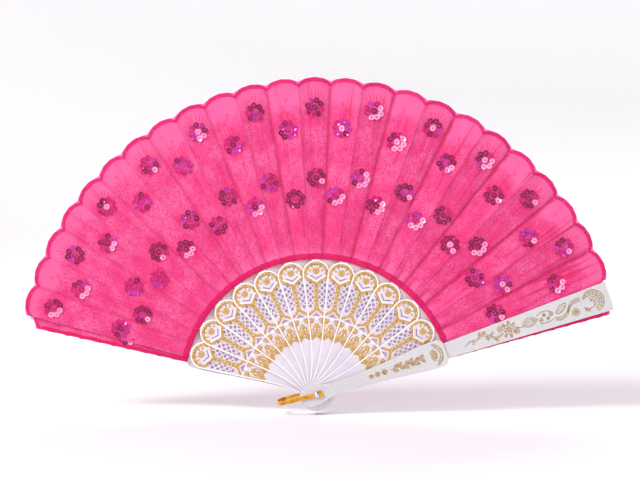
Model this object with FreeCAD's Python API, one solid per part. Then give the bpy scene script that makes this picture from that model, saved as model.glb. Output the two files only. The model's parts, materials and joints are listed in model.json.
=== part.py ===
"""Folding hand fan: two guards and twelve pierced sticks on one rivet, a pleated cloth leaf and a bail.

The fan stands open in the XZ plane and faces -Y. The origin is on the rivet's axis, which is the Y axis,
halfway through the stack of sticks. Angles are counted from +X towards +Z. Millimetres and degrees.
"""
import FreeCAD, Part
import math
import os
from FreeCAD import Vector

# How the fan opens.
GUARD_ANGLE = 18.8      # centre line of the front guard
STICKS = 12             # inner sticks between the two guards
STEP = 11.95            # angle from one stick to the next
REAR_STEP = 0.9         # the rear guard stays folded almost onto the last stick
FRONT_TUCK = 0.5        # the front guard's pleat reaches this far past its own share
REAR_TUCK = 1.2         # and so does the rear guard's
PLEAT = STEP / 2        # one stick carries one pleat, and the pleat beside it is free

# Lengths from the rivet's axis.
GUARD_LENGTH = 220.0
REAR_GUARD_LENGTH = 214.0   # the rear guard's tip stays hidden behind the leaf
LOBE_TOP = 95.8         # rounded end of the pierced part of a stick
LEAF_INNER = 96.4
LEAF_CREST = 226.3      # top of the highest scallop
LEAF_CREST_ANGLE = 72.0 # where in the fan that scallop stands
LEAF_DROOP = 2.5        # the others lie lower by this times the square of their angle from it, in radians
SCALLOP = 2.6           # depth of a valley between two scallops
FRONT_LEAF = 219.0      # the front guard's pleat ends just short of the guard's tip
REAR_CORNER = 208.0     # the leaf's free corner is cut back to here
RIB_TIP = 212.0

# Depths through the stack, front to back.
GUARD_PLATE_T = 1.2
GUARD_BAR_T = 1.3
CLOTH_T = 0.2
RIB_T = 0.4
STICK_T = 0.95
POCKET = 0.15           # the stick's face lies this deep inside its raised rim
FOLD_DEPTH = 0.75       # from a stick's front to the free pleat behind it
PITCH = 1.15            # from one stick to the next
GUARD_GAP = 0.15        # between the front guard's pleat and the free pleat behind it
CLOTH_GAP = 0.2

# Rivet and bail.
PIN_R = 1.0
RUNNING_CLEARANCE = 0.05
DOME_R = 2.05
DOME_H = 1.2
CLINCH_R = 1.9
CLINCH_H = 0.8
HEAD_GAP = 0.1
BAIL_ANGLE = 193.8
BAIL_REACH = 29.6
BAIL_WIDTH = 2.6
BAIL_T = 1.0
BAIL_EYE = 4.2          # the bail's round eye reaches this far beyond the rivet's axis
BAIL_EYE_R = 2.5
BAIL_BEND = 8.0         # outer radius of each corner of the bend
BAIL_GAP = 0.15         # between the bail's arms and the guards

# Stick, as half widths at distances from the rivet.
HEAD_R = 6.6
HEAD_CENTRE = -6.6
NECK_HALF = 4.4
NECK_FROM = 16.0
NECK_TO = 36.0
LOBE_R = 9.8
RIM = 0.9
RIB_FROM = 90.0
RIB_HALF_FOOT = 3.0
RIB_HALF_TIP = 2.2
SIDE_PINS = (50.0, 68.0)   # distances where the smooth side edge is held to its straight taper

# Guard plate and bar.
GUARD_HEAD_R = 7.75
GUARD_HEAD_CENTRE = -5.0
PLATE_SIDE = ((8.0, 5.3), (18.0, 4.4), (40.0, 5.4), (62.0, 7.3), (82.0, 9.4))
PLATE_HALF = 9.85
PLATE_TOP = 97.0
PLATE_CORNER_R = 5.0
PLATE_EDGE_ROUND = 0.4
BAR_HALF_FOOT = 3.6
BAR_HALF_JUNCTION = 5.4
BAR_HALF_TIP = 10.5
BAR_CORNER_R = 1.2
BAR_EDGE_ROUND = 0.3

TOLERANCE = 1e-6        # for telling whether an edge lies in a face

# Openwork of a stick.
LATTICE_FOOT = 58.5
LATTICE_TOP = 81.5
LATTICE_EDGE = 1.5      # solid edge outside the lattice
LATTICE_PITCH = 4.25    # between the centres of two holes in one row
LATTICE_FIRST = 4.2     # from the stick's centre line to the main row of holes
HOLE_HALF = 1.4         # half the diagonal of a lattice hole
LEAST_HOLE = 0.5        # smallest cut hole kept, in square millimetres
FIELD_INNER = 1.8       # the pierced field's inner edge at the spine's waist
FIELD_INNER_FOOT = 2.9  # the same edge where the field starts
FIELD_INNER_TOP = 2.5   # and where it bends away from the spine
FIELD_FOOT_RISE = 2.0   # the inner edge starts this far above the field's foot
FIELD_TOP_DROP = 2.6    # and bends away this far below its top
FIELD_TOP_SHARE = 0.7   # where the bent edge meets the top, as a share of the half width
CHEVRON_TIP = 82.4
CHEVRON_RISE = 2.6
CHEVRON_HALF = 4.2
CHEVRON_T = 0.8
TRIANGLE_FOOT = 55.3
TRIANGLE_TOP = 58.3
TRIANGLE_HALF = 3.0

# The stack's depths from its front face.
FIRST_STICK = GUARD_PLATE_T + GUARD_BAR_T + 2 * CLOTH_T + GUARD_GAP + CLOTH_GAP
LAST_STICK = FIRST_STICK + PITCH * (STICKS - 1)
REAR_CLOTH = LAST_STICK + PITCH
STACK = REAR_CLOTH + CLOTH_T + GUARD_BAR_T + GUARD_PLATE_T
REAR_ANGLE = GUARD_ANGLE + STEP * STICKS + REAR_STEP


def at(radius, across):
    """A point on a stick that lies along +X."""
    return Vector(radius, 0, across)


def polar(radius, degrees):
    return at(radius * math.cos(math.radians(degrees)), radius * math.sin(math.radians(degrees)))


def plate(wire, depth, thickness):
    """A flat piece whose front face is at the depth, counted from the front of the stack."""
    solid = Part.Face(wire).extrude(Vector(0, thickness, 0))
    solid.translate(Vector(0, depth - STACK / 2, 0))
    return solid


def turned(shape, degrees):
    copy = shape.copy()
    copy.rotate(Vector(0, 0, 0), Vector(0, -1, 0), degrees)
    return copy


def polygon(points):
    return Part.makePolygon([at(*p) for p in points] + [at(*points[0])])


def pin_hole(depth, thickness):
    circle = Part.Wire(Part.makeCircle(PIN_R + RUNNING_CLEARANCE, Vector(0, 0, 0), Vector(0, 1, 0)))
    return plate(circle, depth - 1, thickness + 2)


def head_arc(centre, radius):
    """Round end behind the rivet, from the lower side to the upper side."""
    return Part.Arc(at(centre, -radius), at(centre - radius, 0), at(centre, radius)).toShape()


def side(start, points, mirror):
    """Smooth side edge that leaves the round head along the stick."""
    curve = Part.BSplineCurve()
    ends = [at(x, z * mirror) for x, z in [start] + list(points)]
    last = ends[-1] - ends[-2]
    curve.interpolate(Points=ends, InitialTangent=Vector(1, 0, 0), FinalTangent=last.normalize())
    return curve.toShape()


def lobe_half(radius):
    """Half width of a stick between its neck and its lobe."""
    share = (radius - NECK_TO) / (LOBE_TOP - LOBE_R - NECK_TO)
    return NECK_HALF + (LOBE_R - NECK_HALF) * share


def stick_wire(inset):
    """A stick's outline as far as its lobe, drawn in by the inset."""
    lobe = LOBE_TOP - LOBE_R
    points = [(NECK_FROM, NECK_HALF - inset), (NECK_TO, NECK_HALF - inset)]
    points += [(r, lobe_half(r) - inset) for r in SIDE_PINS + (lobe,)]
    start = (HEAD_CENTRE, HEAD_R - inset)
    cap = Part.Arc(at(lobe, LOBE_R - inset), at(LOBE_TOP - inset, 0), at(lobe, inset - LOBE_R)).toShape()
    edges = [head_arc(HEAD_CENTRE, HEAD_R - inset), side(start, points, 1), cap, side(start, points, -1)]
    return Part.Wire(Part.__sortEdges__(edges))


def diamond(radius, across):
    return polygon([
        (radius - HOLE_HALF, across),
        (radius, across + HOLE_HALF),
        (radius + HOLE_HALF, across),
        (radius, across - HOLE_HALF),
    ])


def lattice_region(sign):
    """The pierced field between the spine and one edge of a stick."""
    foot = lobe_half(LATTICE_FOOT) - LATTICE_EDGE
    top = lobe_half(LATTICE_TOP) - LATTICE_EDGE
    middle = (LATTICE_FOOT + LATTICE_TOP) / 2
    return polygon([
        (LATTICE_FOOT + FIELD_FOOT_RISE, sign * FIELD_INNER_FOOT),
        (middle, sign * FIELD_INNER),
        (LATTICE_TOP - FIELD_TOP_DROP, sign * FIELD_INNER_TOP),
        (LATTICE_TOP, sign * top * FIELD_TOP_SHARE),
        (LATTICE_TOP, sign * top),
        (LATTICE_FOOT, sign * foot),
    ])


def lattice_holes(sign):
    region = Part.Face(lattice_region(sign))
    half_pitch = LATTICE_PITCH / 2
    rows = math.ceil((LATTICE_TOP - LATTICE_FOOT) / half_pitch) + 1
    faces = []
    for column in (-1, 0, 1):
        for row in range(rows):
            if (row + column) % 2:
                continue
            radius = LATTICE_FOOT + half_pitch * row
            across = sign * (LATTICE_FIRST + half_pitch * column)
            cut = Part.Face(diamond(radius, across)).common(region)
            faces += [f for f in cut.Faces if f.Area > LEAST_HOLE]
    return faces


def chevron():
    half = CHEVRON_T / 2
    return polygon([
        (CHEVRON_TIP - half, 0),
        (CHEVRON_TIP + CHEVRON_RISE - half, CHEVRON_HALF),
        (CHEVRON_TIP + CHEVRON_RISE + half, CHEVRON_HALF),
        (CHEVRON_TIP + half, 0),
        (CHEVRON_TIP + CHEVRON_RISE + half, -CHEVRON_HALF),
        (CHEVRON_TIP + CHEVRON_RISE - half, -CHEVRON_HALF),
    ])


def triangle():
    return polygon([
        (TRIANGLE_FOOT, -TRIANGLE_HALF),
        (TRIANGLE_FOOT, TRIANGLE_HALF),
        (TRIANGLE_TOP, 0),
    ])


def rib_wire():
    """The plain strip that stiffens the leaf, with a round tip."""
    tip = RIB_TIP - RIB_HALF_TIP
    edges = [
        Part.LineSegment(at(RIB_FROM, -RIB_HALF_FOOT), at(tip, -RIB_HALF_TIP)).toShape(),
        Part.Arc(at(tip, -RIB_HALF_TIP), at(RIB_TIP, 0), at(tip, RIB_HALF_TIP)).toShape(),
        Part.LineSegment(at(tip, RIB_HALF_TIP), at(RIB_FROM, RIB_HALF_FOOT)).toShape(),
        Part.LineSegment(at(RIB_FROM, RIB_HALF_FOOT), at(RIB_FROM, -RIB_HALF_FOOT)).toShape(),
    ]
    return Part.Wire(edges)


def stick():
    """One stick along +X with its front at the front of the stack: rim, pierced face, head and rib."""
    body = plate(stick_wire(0), 0, STICK_T)
    pocket = plate(stick_wire(RIM), -1, 1 + POCKET)
    holes = lattice_holes(1) + lattice_holes(-1) + [Part.Face(chevron()), Part.Face(triangle())]
    cutters = [plate(face.OuterWire, -1, STICK_T + 2) for face in holes]
    body = body.cut([pocket, pin_hole(0, STICK_T)] + cutters)
    body = body.fuse(plate(rib_wire(), CLOTH_T, RIB_T))
    return body.removeSplitter().Solids[0]


def leaf_crest(angle):
    """Distance of a scallop's top from the rivet: the leaf hangs lower towards both its ends."""
    return LEAF_CREST - LEAF_DROOP * math.radians(angle - LEAF_CREST_ANGLE) ** 2


def leaf_panel(start, end, crest, corners):
    """One pleat, from its start angle to its end angle, with one scallop between its two outer corners."""
    middle = (start + end) / 2
    first, second = corners
    edges = [
        Part.Arc(polar(LEAF_INNER, start), polar(LEAF_INNER, middle), polar(LEAF_INNER, end)).toShape(),
        Part.LineSegment(polar(LEAF_INNER, end), polar(second, end)).toShape(),
        Part.Arc(polar(second, end), polar(crest, middle), polar(first, start)).toShape(),
        Part.LineSegment(polar(first, start), polar(LEAF_INNER, start)).toShape(),
    ]
    return Part.Wire(edges)


def pleat(centre, depth):
    start, end = centre - PLEAT / 2, centre + PLEAT / 2
    corners = [leaf_crest(angle) - SCALLOP for angle in (start, end)]
    return plate(leaf_panel(start, end, leaf_crest(centre), corners), depth, CLOTH_T)


def front_pleat(depth):
    """The front guard's pleat, which reaches out from under the guard's lower edge."""
    start, end = GUARD_ANGLE - PLEAT / 2 - FRONT_TUCK, GUARD_ANGLE + PLEAT / 2
    return plate(leaf_panel(start, end, FRONT_LEAF, (FRONT_LEAF - SCALLOP, FRONT_LEAF)), depth, CLOTH_T)


def rear_pleat(depth):
    """The rear guard's pleat, cut at a slant to the leaf's free corner."""
    start, end = REAR_ANGLE - PLEAT / 2, REAR_ANGLE + PLEAT / 2 + REAR_TUCK
    corners = (leaf_crest(start) - SCALLOP, REAR_CORNER)
    return plate(leaf_panel(start, end, sum(corners) / 2 + SCALLOP / 2, corners), depth, CLOTH_T)


def rounded(solid, depth, radius):
    """Rounds the outline of a plate on the face at the depth."""
    level = depth - STACK / 2
    lies_flat = lambda edge: abs(edge.BoundBox.YMin - level) + abs(edge.BoundBox.YMax - level) < TOLERANCE
    is_hole = lambda edge: edge.BoundBox.DiagonalLength < 4 * PIN_R
    return solid.makeFillet(radius, [e for e in solid.Edges if lies_flat(e) and not is_hole(e)])


def guard_plate(depth, face_depth):
    """The broad lower plate of a guard, with a round head and round shoulders."""
    square = PLATE_TOP - PLATE_CORNER_R
    corner = PLATE_HALF - PLATE_CORNER_R
    slant = PLATE_CORNER_R * (1 - math.sqrt(0.5))
    points = PLATE_SIDE + ((square, PLATE_HALF),)
    start = (GUARD_HEAD_CENTRE, GUARD_HEAD_R)
    edges = [head_arc(GUARD_HEAD_CENTRE, GUARD_HEAD_R), side(start, points, 1), side(start, points, -1)]
    for sign in (1, -1):
        knee = at(PLATE_TOP - slant, sign * (PLATE_HALF - slant))
        arc = Part.Arc(at(square, sign * PLATE_HALF), knee, at(PLATE_TOP, sign * corner))
        edges.append(arc.toShape())
    edges.append(Part.LineSegment(at(PLATE_TOP, corner), at(PLATE_TOP, -corner)).toShape())
    solid = plate(Part.Wire(Part.__sortEdges__(edges)), depth, GUARD_PLATE_T)
    return rounded(solid.cut(pin_hole(depth, GUARD_PLATE_T)), face_depth, PLATE_EDGE_ROUND)


def guard_bar(depth, face_depth, length):
    """The long bar of a guard: narrow under the plate, and widening to a square-cut tip."""
    round_end = Part.Arc(at(0, -BAR_HALF_FOOT), at(-BAR_HALF_FOOT, 0), at(0, BAR_HALF_FOOT)).toShape()
    junction = PLATE_TOP - PLATE_CORNER_R
    outline = [
        (0, BAR_HALF_FOOT), (junction, BAR_HALF_JUNCTION), (length, BAR_HALF_TIP),
        (length, -BAR_HALF_TIP), (junction, -BAR_HALF_JUNCTION), (0, -BAR_HALF_FOOT),
    ]
    edges = [Part.LineSegment(at(*a), at(*b)).toShape() for a, b in zip(outline, outline[1:])]
    solid = plate(Part.Wire(edges + [round_end]), depth, GUARD_BAR_T)
    at_tip = lambda edge: edge.BoundBox.XMin > length - TOLERANCE
    through = lambda edge: edge.BoundBox.YLength > GUARD_BAR_T / 2
    solid = solid.makeFillet(BAR_CORNER_R, [e for e in solid.Edges if at_tip(e) and through(e)])
    return rounded(solid.cut(pin_hole(depth, GUARD_BAR_T)), face_depth, BAR_EDGE_ROUND)


def rivet():
    """The shank through the whole stack, with its domed head in front of the bail."""
    front = -STACK / 2 - BAIL_GAP - BAIL_T - HEAD_GAP
    back = STACK / 2 + BAIL_GAP + BAIL_T + HEAD_GAP
    shank = Part.makeCylinder(PIN_R, back - front, Vector(0, front, 0), Vector(0, 1, 0))
    return shank.fuse(dome(front, -1, DOME_R, DOME_H)).removeSplitter()


def dome(level, direction, radius, height):
    """A spherical cap whose flat side is at the level."""
    ball = (radius ** 2 + height ** 2) / (2 * height)
    sphere = Part.makeSphere(ball, Vector(0, level + direction * (height - ball), 0))
    low = level if direction > 0 else level - height
    block = Part.makeBox(2 * radius, height, 2 * radius, Vector(-radius, low, -radius))
    return sphere.common(block)


def clinch_cap():
    """The shank's spread end, behind the bail's rear arm."""
    back = STACK / 2 + BAIL_GAP + BAIL_T + HEAD_GAP
    return dome(back, 1, CLINCH_R, CLINCH_H)


def bail_band(reach, half_depth, corner):
    """Outline of the bail seen from its side: two arms along +X, joined by a bend with round corners."""
    slant = corner * (1 - math.sqrt(0.5))
    back = -BAIL_EYE
    p = lambda x, y: Vector(x, y, 0)
    edges = [
        Part.LineSegment(p(back, -half_depth), p(reach - corner, -half_depth)).toShape(),
        Part.Arc(
            p(reach - corner, -half_depth),
            p(reach - slant, -half_depth + slant),
            p(reach, -half_depth + corner),
        ).toShape(),
        Part.LineSegment(p(reach, -half_depth + corner), p(reach, half_depth - corner)).toShape(),
        Part.Arc(
            p(reach, half_depth - corner),
            p(reach - slant, half_depth - slant),
            p(reach - corner, half_depth),
        ).toShape(),
        Part.LineSegment(p(reach - corner, half_depth), p(back, half_depth)).toShape(),
        Part.LineSegment(p(back, half_depth), p(back, -half_depth)).toShape(),
    ]
    return Part.Face(Part.Wire(edges))


def bail():
    """A flat strip bent into a loop round the stack, with a rivet hole in the round eye at each end."""
    inner = STACK / 2 + BAIL_GAP
    outside = bail_band(BAIL_REACH, inner + BAIL_T, BAIL_BEND)
    inside = bail_band(BAIL_REACH - BAIL_T, inner, BAIL_BEND - BAIL_T)
    strip = outside.cut(inside).extrude(Vector(0, 0, 2 * BAIL_EYE_R))
    strip.translate(Vector(0, 0, -BAIL_EYE_R))
    half = BAIL_WIDTH / 2
    centre = BAIL_EYE_R - BAIL_EYE
    neck = centre + math.sqrt(BAIL_EYE_R ** 2 - half ** 2)
    edges = [
        Part.Arc(at(neck, -half), at(-BAIL_EYE, 0), at(neck, half)).toShape(),
        Part.LineSegment(at(neck, half), at(BAIL_REACH, half)).toShape(),
        Part.LineSegment(at(BAIL_REACH, half), at(BAIL_REACH, -half)).toShape(),
        Part.LineSegment(at(BAIL_REACH, -half), at(neck, -half)).toShape(),
    ]
    silhouette = plate(Part.Wire(edges), -2 * BAIL_T, STACK + 4 * BAIL_T)
    return strip.common(silhouette).cut(pin_hole(-2 * BAIL_T, STACK + 4 * BAIL_T))


def save(name, shape):
    solid = shape.Solids[0]
    assert len(shape.Solids) == 1 and solid.isValid(), name
    solid.exportStep("parts/%s.step" % name)
    print("%-18s %8.1f mm3" % (name, solid.Volume))


def build():
    os.makedirs("parts", exist_ok=True)
    bar_depth = GUARD_PLATE_T
    cloth_depth = bar_depth + GUARD_BAR_T
    save("front_guard_plate", turned(guard_plate(0, 0), GUARD_ANGLE))
    save("front_guard_bar", turned(guard_bar(bar_depth, bar_depth, GUARD_LENGTH), GUARD_ANGLE))
    save("leaf_front_guard", front_pleat(cloth_depth))
    save("leaf_fold_00", pleat(GUARD_ANGLE + PLEAT, cloth_depth + CLOTH_T + GUARD_GAP))

    pattern = stick()
    for number in range(1, STICKS + 1):
        angle = GUARD_ANGLE + STEP * number
        depth = FIRST_STICK + PITCH * (number - 1)
        placed = turned(pattern, angle)
        placed.translate(Vector(0, depth, 0))
        save("stick_%02d" % number, placed)
        save("leaf_stick_%02d" % number, pleat(angle, depth))
        fold = REAR_STEP / 2 if number == STICKS else PLEAT
        save("leaf_fold_%02d" % number, pleat(angle + fold, depth + FOLD_DEPTH))

    rear_bar = REAR_CLOTH + CLOTH_T
    rear_plate = rear_bar + GUARD_BAR_T
    save("leaf_rear_guard", rear_pleat(REAR_CLOTH))
    save("rear_guard_bar", turned(guard_bar(rear_bar, rear_plate, REAR_GUARD_LENGTH), REAR_ANGLE))
    save("rear_guard_plate", turned(guard_plate(rear_plate, STACK), REAR_ANGLE))

    save("rivet", rivet())
    save("rivet_clinch_cap", clinch_cap())
    save("bail", turned(bail(), BAIL_ANGLE))


build()
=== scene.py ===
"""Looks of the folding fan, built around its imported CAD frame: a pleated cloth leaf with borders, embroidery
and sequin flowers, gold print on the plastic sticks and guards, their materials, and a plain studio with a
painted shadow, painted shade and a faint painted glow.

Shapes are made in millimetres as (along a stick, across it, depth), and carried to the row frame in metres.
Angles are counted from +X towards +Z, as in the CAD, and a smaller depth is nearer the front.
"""
import json
import math
import random
from math import cos, radians, sin

import bmesh
import bpy
import numpy as np
from mathutils import Matrix, Vector, noise


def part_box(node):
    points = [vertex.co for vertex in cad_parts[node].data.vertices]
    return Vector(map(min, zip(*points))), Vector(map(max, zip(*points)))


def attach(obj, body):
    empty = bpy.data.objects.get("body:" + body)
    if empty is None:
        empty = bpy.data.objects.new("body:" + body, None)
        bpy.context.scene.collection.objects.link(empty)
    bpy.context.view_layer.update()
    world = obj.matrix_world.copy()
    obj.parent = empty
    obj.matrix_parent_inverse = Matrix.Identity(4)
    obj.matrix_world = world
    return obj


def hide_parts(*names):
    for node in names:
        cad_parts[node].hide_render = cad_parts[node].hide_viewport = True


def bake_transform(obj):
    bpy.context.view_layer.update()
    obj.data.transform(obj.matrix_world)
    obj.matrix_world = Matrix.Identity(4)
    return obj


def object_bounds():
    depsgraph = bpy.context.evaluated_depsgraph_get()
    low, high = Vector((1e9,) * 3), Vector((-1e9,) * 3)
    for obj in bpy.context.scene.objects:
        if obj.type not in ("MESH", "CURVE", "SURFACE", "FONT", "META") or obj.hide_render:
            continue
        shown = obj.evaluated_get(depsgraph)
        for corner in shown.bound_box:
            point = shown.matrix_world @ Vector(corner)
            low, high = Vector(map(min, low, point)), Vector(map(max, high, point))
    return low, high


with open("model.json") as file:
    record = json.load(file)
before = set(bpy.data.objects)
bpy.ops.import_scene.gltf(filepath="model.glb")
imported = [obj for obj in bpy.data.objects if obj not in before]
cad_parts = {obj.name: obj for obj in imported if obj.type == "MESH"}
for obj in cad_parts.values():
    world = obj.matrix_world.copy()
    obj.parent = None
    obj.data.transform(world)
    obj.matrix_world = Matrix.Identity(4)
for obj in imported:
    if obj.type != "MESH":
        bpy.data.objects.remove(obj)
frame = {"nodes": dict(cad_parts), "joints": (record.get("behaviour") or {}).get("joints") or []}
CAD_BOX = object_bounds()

MM = 0.001
RNG = random.Random(7)

# The fan's own dimensions, as in the CAD.
STICKS = 12
GUARD_ANGLE = 18.8
JOINTS = {j["name"]: j for j in frame["joints"]}
STEP = JOINTS["fan_fold"]["range_deg"][1]
REAR_SPREAD = -JOINTS["rear_guard_spread"]["range_deg"][0]
REAR_ANGLE = GUARD_ANGLE + STEP * STICKS + (STEP - REAR_SPREAD)
HALF = STEP / 4
LEAF_INNER = 96.4
LEAF_TOP = 225.0            # about where the scallops' tops lie
LEAF_CREST, LEAF_CREST_ANGLE, LEAF_DROOP = 226.3, 72.0, 2.5
SCALLOP = 2.6
FRONT_LEAF, REAR_CORNER = 219.0, 208.0
REAR_SHORTER = 6.0          # the rear guard is this much shorter than the front one
FRONT_TUCK, REAR_TUCK = 0.5, 1.2
POCKET = 0.15
STICK_T = 0.95
NECK_HALF, NECK_TO = 4.4, 36.0
LOBE_R, LOBE_CENTRE = 9.8, 86.0

BEVEL = 0.15                # softened edge of a flat printed patch
CROWN = 0.6                 # width of a printed line's flat top, as a share of its foot


def front(node):
    """Depth of a CAD node's front face."""
    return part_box(node)[0].y / MM


def back(node):
    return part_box(node)[1].y / MM


def leaf_crest(angle):
    """Distance of a scallop's top from the rivet, as in the CAD."""
    return LEAF_CREST - LEAF_DROOP * radians(angle - LEAF_CREST_ANGLE) ** 2


# ---- shapes

def add_object(name, data):
    obj = bpy.data.objects.new(name, data)
    bpy.context.scene.collection.objects.link(obj)
    return obj


def turns(sides, start=0.0):
    """Evenly spaced angles round a circle, in radians."""
    return [math.tau * (k + start) / sides for k in range(sides)]


def runs(line):
    """Each point of a line, with the line's direction there."""
    for i, p in enumerate(line):
        yield p, line[min(i + 1, len(line) - 1)] - line[max(i - 1, 0)]


def polar(centre, radius, t):
    return centre[0] + radius * cos(t), centre[1] + radius * sin(t)


def on_frame(r, angle, depth):
    """A point of the frame, at a distance and an angle in degrees from the rivet."""
    return r * cos(radians(angle)), depth, r * sin(radians(angle))


class Shape:
    """Closed shells, as points (along, across, depth), faces and one material number for each face."""

    def __init__(self):
        self.points, self.faces, self.materials, self.uvs = [], [], [], {}
        self.material = 0
        self.layer = 0.0        # each stroke of a print lies this much higher than the one before
        self.strokes = 0

    def add(self, points, faces):
        first = len(self.points)
        self.points += [tuple(p) for p in points]
        self.faces += [tuple(first + i for i in f) for f in faces]
        self.materials += [self.material] * len(faces)

    def lift(self, base, top):
        """The top of the next stroke of a print."""
        self.strokes += 1
        return top + math.copysign(self.layer * self.strokes, top - base)

    def loft(self, rings, closed=False):
        """A skin over rings of the same number of points, with its ends capped unless it closes on itself."""
        n, count = len(rings[0]), len(rings)
        faces = []
        for i in range(count if closed else count - 1):
            a, b = i * n, (i + 1) % count * n
            faces += [(a + j, a + (j + 1) % n, b + (j + 1) % n, b + j) for j in range(n)]
        if not closed:
            faces += [tuple(range(n)), tuple(range((count - 1) * n, count * n))]
        self.add([p for ring in rings for p in ring], faces)

    def strip(self, line, half, base, top):
        """A low ribbon along a line of (along, across). half is its half width, or one for each point."""
        line, top = [Vector(p) for p in line], self.lift(base, top)
        halves = half if hasattr(half, "__len__") else [half] * len(line)
        rings = []
        for (p, run), wide in zip(runs(line), halves):
            side = Vector((-run.y, run.x)).normalized() * wide
            ring = [(p + side, base), (p + side * CROWN, top), (p - side * CROWN, top), (p - side, base)]
            rings.append([(q.x, q.y, depth) for q, depth in ring])
        self.loft(rings)

    def tube(self, line, radius, sides=5):
        """A thread along a line of (along, across, depth)."""
        rings = []
        for p, run in runs([Vector(p) for p in line]):
            run.normalize()
            u = (run.orthogonal() if abs(run.z) > 0.9 else run.cross(Vector((0, 0, 1)))).normalized()
            v = run.cross(u)
            rings.append([p + (u * cos(t) + v * sin(t)) * radius for t in turns(sides)])
        self.loft(rings)

    def band(self, outer, inner, base, top):
        """A flat band between two lines of (along, across), with softened edges."""
        rings, top = [], self.lift(base, top)
        for o, i in zip(outer, inner):
            o, i = Vector(o), Vector(i)
            cut = (o - i).normalized() * min(BEVEL, (o - i).length / 3)
            rings.append([(*o, base), (*(o - cut), top), (*(i + cut), top), (*i, base)])
        self.loft(rings)

    def dome(self, centre, radius, base, top, sides=20):
        """A low domed disc."""
        rings, top = [], self.lift(base, top)
        for share in (0.0, 0.35, 0.65, 0.9, 1.0):
            depth = base + (top - base) * (1 - share ** 4)
            size = max(share, 0.02) * radius
            rings.append([(*polar(centre, size, t), depth) for t in turns(sides)])
        rings.append([(x, y, base) for x, y, _ in rings[-1]])
        self.loft(rings)

    def plate(self, outline, base, top, bevel=BEVEL):
        """A flat patch with a softened edge; the outline is convex or nearly so."""
        top = self.lift(base, top)
        middle = sum((Vector(p) for p in outline), Vector((0, 0))) / len(outline)
        inner = [Vector(p) + (middle - Vector(p)).normalized() * bevel for p in outline]
        low, high = [(p[0], p[1], base) for p in outline], [(p[0], p[1], top) for p in inner]
        self.loft([low, high])

    def make(self, name, place, materials, smooth_angle=35):
        """The mesh object, each point carried to the row frame by place."""
        mesh = bpy.data.meshes.new(name)
        mesh.from_pydata([Vector(place(*p)) * MM for p in self.points], [], self.faces)
        for m in materials:
            mesh.materials.append(m)
        mesh.polygons.foreach_set("material_index", self.materials)
        for layer, values in self.uvs.items():
            uv = mesh.uv_layers.new(name=layer)
            corner = np.zeros(len(mesh.loops), int)
            mesh.loops.foreach_get("vertex_index", corner)
            uv.data.foreach_set("uv", np.array(values, np.float32)[corner].ravel())
        bm = bmesh.new()
        bm.from_mesh(mesh)
        bmesh.ops.recalc_face_normals(bm, faces=bm.faces)
        bm.to_mesh(mesh)
        bm.free()
        mesh.shade_smooth()
        mesh.set_sharp_from_angle(angle=radians(smooth_angle))
        return add_object(name, mesh)


def curve_through(points, steps=6):
    """A smooth line through the points (Catmull-Rom)."""
    points = [Vector(p) for p in points]
    ends = [points[0] * 2 - points[1]] + points + [points[-1] * 2 - points[-2]]
    line = []
    for i in range(1, len(ends) - 2):
        a, b, c, d = ends[i - 1:i + 3]
        for k in range(steps):
            t = k / steps
            line.append(0.5 * (2 * b + (c - a) * t + (2 * a - 5 * b + 4 * c - d) * t * t
                               + (3 * b - a - 3 * c + d) * t ** 3))
    return line + [points[-1]]


def arc(centre, radius, start, end, steps, inner=None):
    """Points on an arc, in degrees from the stick's own direction; it spirals in where inner is given."""
    change = 0.0 if inner is None else inner - radius
    return [polar(centre, radius + change * q, radians(start + (end - start) * q))
            for q in (k / steps for k in range(steps + 1))]


def on_stick(angle, sign):
    """Carries a stick's own points to the frame. sign -1 is for a piece that is seen from behind."""
    c, s = cos(radians(angle)), sin(radians(angle))
    return lambda along, across, depth: (along * c - sign * across * s, depth, along * s + sign * across * c)


# ---- materials

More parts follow.
